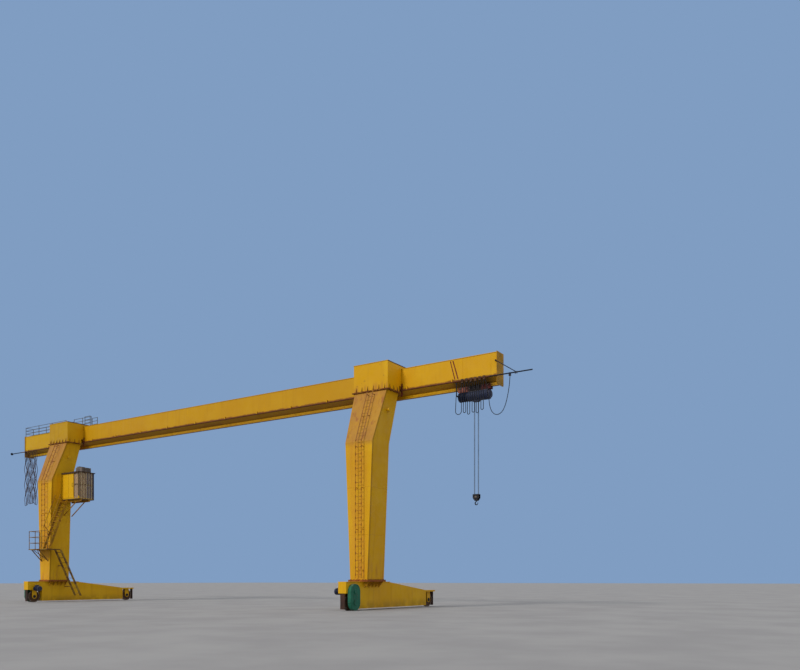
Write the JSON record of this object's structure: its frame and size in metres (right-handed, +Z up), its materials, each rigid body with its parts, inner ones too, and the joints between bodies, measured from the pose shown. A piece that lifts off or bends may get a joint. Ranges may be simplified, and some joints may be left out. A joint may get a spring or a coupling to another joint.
{
  "type": "gantry crane",
  "caption": "Full-portal travelling gantry crane: single box girder with two overhangs on bent box legs, underslung rope hoist with hook, side cab, ladders and festooned cable.",
  "frame": {"origin": "middle of the crane's bounding box, at the level of the rail heads that the wheel flanges stand on", "axes": "+X along the girder towards the leg beside the hoist, +Y along the rails away from the ladders, +Z up"},
  "size_m": [36.1, 6.69, 10.933],
  "materials": {
    "yellow_paint": "weathered gloss enamel with rust runs",
    "rusty_steel": "bolted flanges with failed paint and rust",
    "green_paint": "dull enamel",
    "slate_paint": "dull enamel with grease",
    "dark_paint": "dull black enamel",
    "grey_paint": "satin enamel",
    "wheel_steel": "rolled steel, bright on the tread",
    "wire_rope": "greased strands",
    "cable_sheath": "matt black sheath",
    "cab_glass": "dusty window glass"
  },
  "bodies": {
    "gantry": {"girder_box": "yellow_paint", "girder_rail_beam": "yellow_paint", "girder_end_plates": "yellow_paint", "saddle_near": "yellow_paint", "saddle_far": "yellow_paint", "leg_near": "yellow_paint", "leg_far": "yellow_paint", "leg_top_flanges": "rusty_steel", "leg_base_flanges": "rusty_steel", "ground_beam_near": "yellow_paint", "ground_beam_far": "yellow_paint", "gear_covers": "green_paint", "drive_motors": "slate_paint", "rail_guards": "rusty_steel", "ladder_near": "yellow_paint", "ladder_far": "yellow_paint", "lifting_trunnions": "dark_paint", "girder_guard_rail": "yellow_paint", "cab_frame": "yellow_paint", "cab_glass": "cab_glass", "cab_window_bars": "grey_paint", "cab_roof_unit": "dark_paint", "cab_support": "yellow_paint", "stair_landing": "yellow_paint", "stair_lower_flight": "yellow_paint", "stair_upper_flight": "yellow_paint", "festoon_pipe": "dark_paint", "festoon_brackets": "yellow_paint", "festoon_bundle": "cable_sheath", "festoon_cable": "cable_sheath", "stowed_cable": "cable_sheath"},
    "hoist": {"hoist_carriage": "dark_paint", "hoist_drum_casing": "slate_paint", "hoist_motor": "slate_paint", "hoist_gearbox": "slate_paint", "hoist_control_box": "grey_paint", "tow_arm": "dark_paint", "hoist_ropes": "wire_rope"},
    "hook_block": {"hook_block": "dark_paint"},
    "hook": {"hook": "dark_paint"},
    "wheel_near_front": {"wheel_near_front": "wheel_steel"},
    "wheel_near_rear": {"wheel_near_rear": "wheel_steel"},
    "wheel_far_front": {"wheel_far_front": "wheel_steel"},
    "wheel_far_rear": {"wheel_far_rear": "wheel_steel"},
    "carrier_1": {"carrier_1": "dark_paint"},
    "carrier_2": {"carrier_2": "dark_paint"},
    "carrier_3": {"carrier_3": "dark_paint"},
    "carrier_4": {"carrier_4": "dark_paint"},
    "carrier_5": {"carrier_5": "dark_paint"},
    "carrier_6": {"carrier_6": "dark_paint"}
  },
  "joints": [
    {"name": "hoist_travel", "type": "slide", "parent": "gantry", "child": "hoist", "axis": [1, 0, 0], "range_m": [-28.8, 0.3]},
    {"name": "hook_lift", "type": "slide", "parent": "hoist", "child": "hook_block", "axis": [0, 0, 1], "range_m": [-4.1, 3.4], "deforming": ["hoist_ropes"]},
    {"name": "hook_swivel", "type": "hinge", "parent": "hook_block", "child": "hook", "pos_m": [15.43, -0.205, 4.435], "axis": [0, 0, 1], "continuous": true},
    {"name": "wheel_near_front_roll", "type": "hinge", "parent": "gantry", "child": "wheel_near_front", "pos_m": [11.05, -2.925, 0.325], "axis": [1, 0, 0], "continuous": true},
    {"name": "wheel_near_rear_roll", "type": "hinge", "parent": "gantry", "child": "wheel_near_rear", "pos_m": [11.05, 2.925, 0.325], "axis": [1, 0, 0], "continuous": true},
    {"name": "wheel_far_front_roll", "type": "hinge", "parent": "gantry", "child": "wheel_far_front", "pos_m": [-11.45, -2.925, 0.325], "axis": [1, 0, 0], "continuous": true},
    {"name": "wheel_far_rear_roll", "type": "hinge", "parent": "gantry", "child": "wheel_far_rear", "pos_m": [-11.45, 2.925, 0.325], "axis": [1, 0, 0], "continuous": true},
    {"name": "carrier_1_slide", "type": "slide", "parent": "gantry", "child": "carrier_1", "axis": [1, 0, 0], "range_m": [-28.009, 0.2928]},
    {"name": "carrier_2_slide", "type": "slide", "parent": "gantry", "child": "carrier_2", "axis": [1, 0, 0], "range_m": [-25.8605, 0.2704]},
    {"name": "carrier_3_slide", "type": "slide", "parent": "gantry", "child": "carrier_3", "axis": [1, 0, 0], "range_m": [-22.6868, 0.2373]},
    {"name": "carrier_4_slide", "type": "slide", "parent": "gantry", "child": "carrier_4", "axis": [1, 0, 0], "range_m": [-18.8276, 0.1971]},
    {"name": "carrier_5_slide", "type": "slide", "parent": "gantry", "child": "carrier_5", "axis": [1, 0, 0], "range_m": [-14.6141, 0.1532]},
    {"name": "carrier_6_slide", "type": "slide", "parent": "gantry", "child": "carrier_6", "axis": [1, 0, 0], "range_m": [-10.3863, 0.1092]}
  ],
  "couplings": [
    {"joint": "carrier_1_slide", "follows": "hoist_travel", "ratio": 0.9725},
    {"joint": "carrier_2_slide", "follows": "hoist_travel", "ratio": 0.8979},
    {"joint": "carrier_3_slide", "follows": "hoist_travel", "ratio": 0.7877},
    {"joint": "carrier_4_slide", "follows": "hoist_travel", "ratio": 0.6537},
    {"joint": "carrier_5_slide", "follows": "hoist_travel", "ratio": 0.5074},
    {"joint": "carrier_6_slide", "follows": "hoist_travel", "ratio": 0.3606}
  ]
}
